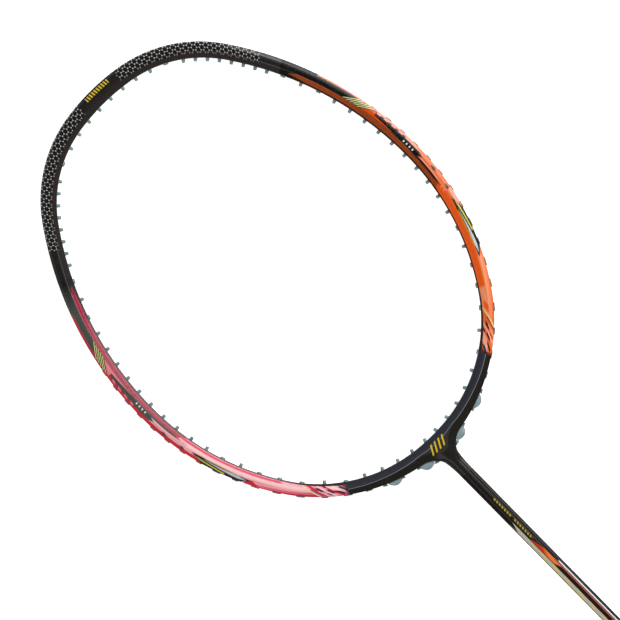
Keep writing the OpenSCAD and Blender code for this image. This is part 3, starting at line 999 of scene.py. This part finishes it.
def lower_flank_material(name, palette, pink):
    paint = lacquer_paint(name, palette=palette)
    along, across, _ = paint.place()
    paint.start("solid")
    paint.lay(across.above(0.56, 0.04) * along.below(244.0, 2.0), "fill")
    paint.lay(across.above(0.775, 0.03) * along.below(213.5, 0.6), "bevel")
    if pink:
        wedge = along.below(217.5, 0.4) * (along - (across - 0.78) * 14.0).above(209.5, 0.8)
        paint.lay(wedge * across.above(0.76, 0.03) * along.above(209.0, 0.4), CRIMSON)
    late_streaks(paint, along, across, pink)
    striped_spear(paint, along, across)
    end_slashes(paint, along, across)
    # Painted shade: a dark strip along the inner line; the line after next lays the same dark colour
    # along the outer line.
    edge = ((along - 250.0) * 0.003 + 0.075).high(0.085)
    paint.lay(across.below(edge, 0.03), "edge")
    paint.lay(across.above(0.965, 0.02) * along.above(262.0, 4.0) * 0.85, "edge")
    return lacquer_finish(paint, along.wave(RIB))


def throat_material():
    """Bare dark lacquer with painted light: a bluish sheen and a highlight band on the inner facet, a
    lighter flat middle, a highlight line along the ridge and a warm outer facet, with gold bars.
    """
    paint = lacquer_paint("hoop_throat_lacquer", 0.13)
    along, _, gap = paint.place()
    x, y, z = paint.position()
    paint.start(srgb(30, 27, 23))
    # Painted sheen: the flat middle is laid lighter than the facets around it.
    paint.lay(z.size().above(5.0, 0.1), srgb(50, 46, 44))
    # Painted sheen: the inner facet is laid bluish.
    paint.lay(gap.below(3.9, 0.3), srgb(44, 46, 54))
    # Painted highlight band along the inner facet.
    paint.lay(gap.near(2.9, 0.6, 0.8) * 0.5, srgb(54, 55, 66))
    paint.fleck(900.0, 4.0, 0.62, 0.2, 0.25, srgb(64, 62, 60))
    # Painted highlight line along the ridge.
    paint.lay(gap.near(4.0, 0.16, 0.2) * 0.65 * along.below(339.0, 2.0), RIDGE_HIGHLIGHT_GREY)
    slant = x - (y - 418.0) * 0.55
    bars = slant.wrap(2.6).below(0.95, 0.18) * slant.between(-5.2, 4.95, 0.1)
    paint.lay(bars * y.between(415.4, 420.4, 0.25) * along.above(325.0, 1.0), GOLD)
    return lacquer_finish(paint)


def paint_hoop(hoop):
    """Six paints, given to faces by their distance along the hoop and their side."""
    hoop.data.materials.clear()
    for material in (tip_material(),
                     upper_flank_material("hoop_upper_orange", ORANGE, False),
                     upper_flank_material("hoop_upper_pink", PINK, True),
                     lower_flank_material("hoop_lower_orange", ORANGE, False),
                     lower_flank_material("hoop_lower_pink", PINK, True),
                     throat_material()):
        hoop.data.materials.append(material)
    places = hoop.data.attributes["place"].data
    for polygon in hoop.data.polygons:
        along = sum(places[i].vector[0] for i in polygon.vertices) / len(polygon.vertices)
        pink = polygon.center.x < 0.0
        if along < UPPER_START:
            polygon.material_index = 0
        elif along < LOWER_START:
            polygon.material_index = 2 if pink else 1
        elif along < PAINT_END:
            polygon.material_index = 4 if pink else 3
        else:
            polygon.material_index = 5


# ---------------------------------------------------------------- other materials

def nylon_material():
    paint = Paint("grommet_nylon", roughness=0.38)
    mottle = paint.noise(700.0, 3.0)
    paint.start(srgb(142, 170, 172))
    paint.lay(mottle.above(0.5, 0.4) * 0.5, srgb(168, 192, 192))
    paint.fleck(160.0, 2.0, 0.55, 0.2, 0.4, srgb(96, 122, 126))
    paint.shader.inputs["Transmission Weight"].default_value = 0.25
    paint.shader.inputs["IOR"].default_value = 1.5
    paint.bump(mottle, 0.1, 0.04)
    return paint.finish()


def shaft_material():
    """Dark lacquer with a painted highlight band down one side, gold dashes and the streaked colours
    that start near the handle.
    """
    paint = lacquer_paint("shaft_lacquer", 0.08)
    x, y, z = paint.position()
    paint.start(srgb(17, 13, 10))
    # Painted highlight: a warm lighter band down the shaft's +X side.
    paint.lay(x.between(-0.4, 2.2, 1.6) * 0.7, srgb(40, 32, 27))
    paint.fleck(800.0, 4.0, 0.62, 0.2, 0.25, srgb(64, 58, 54))
    dash = (y - x * 0.5).wrap(1.9).below(1.15, 0.2)
    words = y.between(349.0, 363.0, 0.3) + y.between(365.0, 378.0, 0.3)
    paint.lay(dash * words * x.between(-0.1, 0.9, 0.15), srgb(176, 156, 44))
    streaks = y.below(362.0, 0.4) * y.above(222.0, 1.5) * z.size().above(0.4, 0.4)
    spread = (y - 362.5) * -0.28
    silver = (x + 1.3).below(0.0, 0.2) * (x + 1.2 + spread).above(0.0, 0.25)
    silver = silver * x.above(-3.15, 0.15) * streaks
    paint.lay(silver, srgb(192, 186, 172))
    cream = (y - x * 3.0).wrap(9.0).below(3.4, 2.0) * y.below(346.0, 3.0)
    paint.lay(silver * cream * 0.8, srgb(222, 196, 110))
    paint.lay(x.near(-3.2, 0.15, 0.15) * streaks, srgb(120, 116, 44))
    narrow = (y - 349.5) * -0.2
    flame = (x + 0.9).above(0.0, 0.2) * (x + 0.7 - narrow.low(1.7)).below(0.0, 0.25)
    flame = flame * (y + x * 2.6).above(329.5, 0.8) * y.below(349.0, 0.6)
    paint.lay(flame, srgb(206, 54, 6))
    paint.lay(flame * (y - x * 2.0).below(339.0, 4.0), srgb(240, 122, 48))
    paint.lay(x.near(2.5, 0.5, 0.3) * y.below(343.0, 4.0) * streaks, srgb(24, 26, 44))
    paint.lay(x.near(1.9, 0.28, 0.2) * y.below(331.0, 1.0) * streaks, WHITE)
    paint.lay(x.near(1.0, 0.32, 0.2) * y.below(333.0, 3.0) * streaks, srgb(170, 74, 52))
    return lacquer_finish(paint)


def carbon_material():
    paint = Paint("joint_carbon", roughness=0.4)
    x, y, _ = paint.position()
    weave = (x + y).wave(2.0) * (x - y).wave(2.0)
    paint.start(srgb(34, 35, 38))
    paint.lay(weave.above(0.0, 0.3), srgb(62, 64, 68))
    paint.bump(weave, 0.3, 0.1)
    return paint.finish()


def plastic_material(name, colour, light):
    paint = Paint(name, roughness=0.42)
    grain = paint.noise(1500.0, 3.0)
    paint.start(colour)
    paint.fleck(90.0, 4.0, 0.55, 0.3, 0.25, light)
    paint.bump(grain, 0.2, 0.05)
    paint.rough(paint.noise(120.0, 4.0) * 0.18 + 0.32)
    return paint.finish()


def wood_material():
    paint = Paint("handle_wood", roughness=0.6)
    rings = paint.noise(160.0, 5.0, stretch=(1.0, 0.06, 1.0))
    fibre = paint.noise(1200.0, 3.0, stretch=(1.0, 0.04, 1.0))
    paint.start(srgb(214, 180, 132))
    paint.lay(rings.above(0.5, 0.2) * 0.7, srgb(184, 140, 90))
    paint.lay(fibre.above(0.6, 0.1) * 0.4, srgb(150, 108, 66))
    paint.bump(fibre, 0.3, 0.1)
    return paint.finish()


GRIP_PITCH, GRIP_HOLE_PITCH, GRIP_GIRTH = 24.0, 3.4, 72.0
GRIP_STEPS = 300


def grip_material():
    """Tacky synthetic tape with rows of punched holes that follow the winding; the holes and the seam
    between turns are painted near black as shade.
    """
    paint = Paint("grip_wrap", roughness=0.62)
    x, y, z = paint.position()
    turn = x.node("ARCTAN2", z) / (2.0 * math.pi)
    phase = (y / GRIP_PITCH - turn).wrap(1.0)
    half = GRIP_HOLE_PITCH / 2.0
    row = (phase * GRIP_PITCH).wrap(GRIP_HOLE_PITCH) - half
    stagger = (phase * GRIP_PITCH / GRIP_HOLE_PITCH).node("FLOOR") * half
    column = (turn * GRIP_GIRTH + stagger).wrap(GRIP_HOLE_PITCH) - half
    hole = (row * row + column * column).node("SQRT").below(0.5, 0.25)
    hole = hole * phase.between(0.16, 0.96, 0.02)
    grain = paint.cells(1400.0)
    paint.start(srgb(28, 29, 32))
    paint.fleck(45.0, 5.0, 0.5, 0.35, 0.4, srgb(44, 45, 49))
    paint.lay(grain.above(0.5, 0.4) * 0.3, srgb(52, 53, 57))
    # Painted shade: the punched holes and the groove between turns are laid near black.
    paint.lay(hole, srgb(6, 6, 7))
    paint.lay(phase.below(0.012, 0.01), srgb(10, 10, 11))
    paint.bump(grain, 0.4, 0.12)
    paint.bump(hole.flip(), 0.8, 0.3)
    paint.rough(paint.noise(200.0, 3.0) * 0.2 + 0.5)
    return paint.finish()


def tape_material():
    paint = Paint("tape_film", roughness=0.3, coat=0.3)
    crinkle = paint.noise(260.0, 4.0, stretch=(1.0, 0.4, 1.0))
    paint.start(srgb(24, 24, 26))
    _, _, first, last = handle_box("finishing_tape")
    middle = (first + last) / 2.0
    paint.lay(paint.position()[1].near(middle, 2.2, 0.2), srgb(206, 164, 60))
    paint.lay(crinkle.above(0.6, 0.2) * 0.2, srgb(90, 84, 70))
    paint.bump(crinkle, 0.35, 0.15)
    return paint.finish()


def metal_material(name, colour, dark, roughness):
    paint = Paint(name, roughness=roughness, metallic=1.0)
    brushed = paint.noise(900.0, 4.0, stretch=(0.05, 1.0, 1.0))
    paint.start(colour)
    paint.lay(brushed.above(0.5, 0.3) * 0.4, dark)
    paint.bump(brushed, 0.15, 0.03)
    paint.rough(brushed * 0.2 + (roughness - 0.1))
    return paint.finish()


def cover(piece, material):
    piece.data.materials.clear()
    piece.data.materials.append(material)


# ---------------------------------------------------------------- handle

HANDLE_SEGMENTS = 144
# Each piece's cut across its corners and the radius that rounds them, outside and inside.
GRIP_CORNER, GRIP_BORE_CORNER, GRIP_WALLS = (6.3, 3.2), (5.4, 2.0), 3.0
TAPE_CORNER, TAPE_BORE_CORNER, TAPE_WALLS = (6.6, 3.4), (5.4, 2.2), 4.5
CUP_CORNER = (7.2, 3.8)


def rounded_octagon(width, depth, cut, radius):
    """Points round an octagon with rounded corners, at even steps of its outline."""
    x, y = width / 2.0 - radius, depth / 2.0 - radius
    slope = max(cut - radius * (2.0 - math.sqrt(2.0)), 0.1)
    corners = [(x, y - slope), (x - slope, y), (slope - x, y), (-x, y - slope),
               (-x, slope - y), (slope - x, -y), (x - slope, -y), (x, slope - y)]
    points = []
    for i, (cx, cy) in enumerate(corners):
        first = 45.0 * i
        for k in range(5):
            angle = first + 45.0 * k / 4
            points.append(Vector((cx + radius * cos_deg(angle), cy + radius * sin_deg(angle))))
    lengths = [0.0]
    for a, b in zip(points, points[1:] + points[:1]):
        lengths.append(lengths[-1] + (b - a).length)
    total = lengths[-1]
    even = []
    k = 0
    for i in range(HANDLE_SEGMENTS):
        target = total * i / HANDLE_SEGMENTS
        while lengths[k + 1] < target:
            k += 1
        share = (target - lengths[k]) / max(lengths[k + 1] - lengths[k], 1e-9)
        even.append(points[k].lerp(points[(k + 1) % len(points)], share))
    return even


def handle_ring(y, width, depth, cut, radius, lift=None):
    """A ring round the handle at a height, pushed out by lift(angle share) if it is given."""
    ring = []
    for point in rounded_octagon(width, depth, cut, radius):
        out = 0.0
        if lift is not None:
            out = lift(math.atan2(point.x, point.y) / (2.0 * math.pi))
        grown = point + point.normalized() * out
        ring.append(Vector((grown.x, y, grown.y)))
    return ring


def grip_piece():
    width, depth, first, last = handle_box("grip")

    def lift_at(y):
        def lift(turn):
            phase = (y / GRIP_PITCH - turn) % 1.0
            step = smoothstep(0.0, 0.02, phase) * smoothstep(0.17, 0.11, phase)
            groove = math.exp(-((phase if phase < 0.5 else phase - 1.0) / 0.012) ** 2)
            roll = 0.12 * math.sin(math.pi * phase)
            return 0.42 * step - 0.3 * groove + roll - 0.45
        return lift

    rings = []
    for i in range(GRIP_STEPS + 1):
        y = first + (last - first) * i / GRIP_STEPS
        rings.append(handle_ring(y, width, depth, *GRIP_CORNER, lift_at(y)))
    bore = (width - GRIP_WALLS, depth - GRIP_WALLS, *GRIP_BORE_CORNER)
    rings.append(handle_ring(last, *bore))
    rings.insert(0, handle_ring(first, *bore))
    return mesh_piece("grip_wrap", [loft(rings)], 60.0)


def tape_piece():
    """Finishing tape: a thin band whose free end shows as a step."""
    width, depth, first, last = handle_box("finishing_tape")

    def lift(turn):
        return 0.16 * smoothstep(0.0, 0.01, turn % 1.0) * smoothstep(0.16, 0.15, turn % 1.0) - 0.18

    rings = []
    for y, shrink in ((first, 0.9), (first, 0.2), (first + 0.2, 0.0), (first + 4.0, 0.03),
                      (last - 4.0, 0.03), (last - 0.2, 0.0), (last, 0.2), (last, 0.9)):
        rings.append(handle_ring(y, width - shrink, depth - shrink, *TAPE_CORNER, lift))
    for y in (last, first):
        rings.append(handle_ring(y, width - TAPE_WALLS, depth - TAPE_WALLS, *TAPE_BORE_CORNER))
    return mesh_piece("finishing_tape_band", [loft(rings)], 50.0)


def butt_cap_piece():
    """Flared butt cap with a rounded rim, three fine ribs and a round recess in its end."""
    width, depth, _, top = handle_box("butt_cap")
    profile = [(1.2, 0.0), (0.75, 0.05), (0.35, 0.3), (0.1, 0.8), (0.0, 1.6), (0.0, 6.0)]
    for i in range(3):
        y = 7.2 + 1.5 * i
        inset = 0.25 + 0.55 * i
        for grow, rise in ((0.0, 0.0), (0.3, 0.2), (0.3, 0.6), (0.2, 0.8)):
            profile.append((inset + grow, y + rise))
    profile += [(2.2, 12.6), (2.75, 14.4), (2.95, top - 0.5), (3.2, top - 0.1), (3.5, top)]
    rings = []
    for inset, y in profile:
        rings.append(handle_ring(y, width - inset, depth - inset, *CUP_CORNER))
    rings.append(handle_ring(top, width - 6.0, depth - 6.0, 5.8, 2.4))
    rings.append(handle_ring(3.0, width - 6.6, depth - 6.6, 5.4, 2.2))
    radius = 7.5
    for r, y in ((radius - 1.0, 3.0), (radius - 1.0, 1.25), (radius - 0.06, 1.2), (radius, 0.25),
                 (radius + 0.25, 0.0)):
        ring = []
        for point in handle_ring(y, width, depth, *CUP_CORNER):
            flat = Vector((point.x, point.z)).normalized() * r
            ring.append(Vector((flat.x, y, flat.y)))
        rings.append(ring)
    return mesh_piece("butt_cap_cup", [loft(rings)], 40.0)


def turned_piece(name, profile):
    """A closed profile of (radius, y) pairs turned about the racket's own axis."""
    matrix = Matrix.Rotation(math.radians(-90.0), 4, "X")
    return mesh_piece(name, [loft(lathe(profile, matrix, 96))], 35.0)


def cone_cap_piece():
    width, _, bottom, top = handle_box("cone_cap")
    base = width / 2.0
    skirt = bottom + 8.0
    outside = [(base - 0.4, bottom), (base, bottom + 0.4), (base, skirt - 0.3)]
    steps = 40
    for i in range(steps + 1):
        share = i / steps
        radius = lerp(base, 4.8, 1.0 - (1.0 - share) ** 1.5)
        y = lerp(skirt, top, share)
        for ring_share in (0.12, 0.2, 0.28, 0.9):
            radius -= 0.28 * math.exp(-((share - ring_share) / 0.012) ** 2)
        outside.append((radius, y))
    outside[-1] = (4.55, top)
    inside = [(3.85, top), (3.85, top - 6.0), (base - 1.6, skirt - 2.0), (base - 1.1, bottom)]
    return turned_piece("cone_cap_shell", outside + inside)


def medallion_piece():
    radius = handle_box("butt_medallion")[0] / 2.0
    profile = [(0.02, 0.25), (4.6, 0.25), (4.9, 0.1), (5.4, 0.1), (5.7, 0.3), (6.4, 0.3),
               (6.7, 0.06), (radius - 0.25, 0.02), (radius, 0.22), (radius, 1.0), (0.02, 1.0)]
    return turned_piece("butt_medallion_plate", profile)


# ---------------------------------------------------------------- assembly

def place_piece(piece, material, node, slot):
    cover(piece, material)
    keep(piece, slot, node)


def keep(piece, slot, *replaced):
    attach(piece, "root")
    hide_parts(*replaced)


def build_hoop():
    hoop = hoop_mesh()
    drill_holes(hoop)
    paint_hoop(hoop)
    sharpen(hoop, HOOP_SHARP_ANGLE)
    keep(hoop, "hoop_lacquer", "head_frame")


def build_grommets():
    sides = (("left", -1.0), ("right", 1.0))
    solids = {}
    for group in ("tip", "shoulder", "upper_side", "lower_side", "arm"):
        for side_name, side in sides:
            solids[f"{group}_grommets_{side_name}"] = grommet_solids(HOLES[group], (side,))
    for group in ("tip_shared", "shoulder_shared", "corner_shared"):
        solids[f"{group}_grommets"] = grommet_solids(HOLES[group], (1.0, -1.0), True)
    for strip, first in (("inner", 0), ("outer", 2)):
        for side_name, side in sides:
            solids[f"{strip}_throat_strip_{side_name}"] = throat_strip_solids(first, side)
    nylon = nylon_material()
    for node, parts in solids.items():
        place_piece(mesh_piece(f"{node}_nylon", parts, NYLON_SHARP_ANGLE), nylon, node, "grommet_nylon")


def build_handle():
    black = plastic_material("cap_plastic", srgb(18, 18, 20), srgb(40, 40, 43))
    place_piece(cone_cap_piece(), black, "cone_cap", "cap_plastic")
    place_piece(butt_cap_piece(), black, "butt_cap", "cap_plastic")
    place_piece(grip_piece(), grip_material(), "grip", "grip_wrap")
    place_piece(tape_piece(), tape_material(), "finishing_tape", "tape_film")
    plate = metal_material("plate_metal", srgb(190, 192, 196), srgb(140, 142, 148), 0.3)
    place_piece(medallion_piece(), plate, "butt_medallion", "plate_metal")


def dress_cad_nodes():
    """CAD nodes whose shape is right only get their material."""
    cover(nodes["shaft"], shaft_material())
    cover(nodes["t_joint"], carbon_material())
    cover(nodes["handle_core"], wood_material())
    cover(nodes["butt_cap_tacks"],
          metal_material("tack_steel", srgb(150, 152, 156), srgb(100, 102, 106), 0.35))


# ---------------------------------------------------------------- stage

def floor():
    """A pale floor that touches the butt and the tip, which lies lower than the handle."""
    butt_low = box_mm("butt_cap")[0][2]
    tip_low = box_mm("head_frame")[0][2]
    tip_y = box_mm("head_frame")[1][1]
    slope = (tip_low - butt_low) / tip_y
    size = 4000.0
    corners = []
    for x, y in ((-size, -size), (size, -size), (size, size), (-size, size)):
        corners.append((x, y, butt_low - 0.4 + slope * y))
    piece = mesh_piece("studio_floor", [(corners, [(0, 1, 2, 3)])], 30.0)
    paint = Paint("floor_paper", roughness=0.9)
    paint.start(srgb(250, 250, 250))
    paint.fleck(3.0, 2.0, 0.5, 0.6, 0.1, srgb(246, 246, 247))
    paint.shader.inputs["Emission Color"].default_value = (1.0, 1.0, 1.0, 1.0)
    paint.shader.inputs["Emission Strength"].default_value = 0.75
    cover(piece, paint.finish())
    piece.visible_glossy = False


def area_light(name, target, offset, size, power):
    """A soft light that looks at a point from an offset, both in millimetres."""
    data = bpy.data.lights.new(name, "AREA")
    data.shape = "RECTANGLE"
    data.size, data.size_y = size[0] * MM, size[1] * MM
    data.energy = power
    light = bpy.data.objects.new(name, data)
    bpy.context.scene.collection.objects.link(light)
    light.location = (target + offset) * MM
    light.rotation_euler = (-offset).to_track_quat("-Z", "Y").to_euler()


HEAD_CENTRE = Vector((0.0, 514.0, 0.0))
VIEW_RIGHT = Vector((0.7133, -0.7009, 0.0))
VIEW_UP = Vector((0.7009, 0.7133, 0.0))


def lights():
    area_light("key", HEAD_CENTRE, Vector((850.0, 60.0, 1100.0)), (800, 800), 10.5)
    area_light("fill", HEAD_CENTRE, Vector((-1050.0, -450.0, 1000.0)), (1000, 1000), 6.0)
    area_light("edge", HEAD_CENTRE, Vector((1000.0, 200.0, -120.0)), (1000, 700), 11.0)
    world = bpy.data.worlds.new("studio")
    world.use_nodes = True
    backdrop = world.node_tree.nodes["Background"]
    backdrop.inputs["Color"].default_value = (1.0, 1.0, 1.0, 1.0)
    backdrop.inputs["Strength"].default_value = 0.32
    bpy.context.scene.world = world


def camera():
    """Straight above the head, turned so that the handle runs to the lower right corner."""
    distance = 2400.0
    frame_width = 321.9
    data = bpy.data.cameras.new("camera")
    data.sensor_width = 36.0
    data.lens = data.sensor_width * distance / frame_width
    data.clip_end = 20.0
    eye = bpy.data.objects.new("camera", data)
    bpy.context.scene.collection.objects.link(eye)
    turn = Matrix((VIEW_RIGHT, VIEW_UP, Vector((0.0, 0.0, 1.0)))).transposed().to_4x4()
    turn.translation = Vector((1.0, 514.14, distance)) * MM
    eye.matrix_world = turn
    bpy.context.scene.camera = eye


build_hoop()
build_grommets()
build_handle()
dress_cad_nodes()
floor()
lights()
camera()
bpy.context.scene.view_settings.view_transform = "Standard"
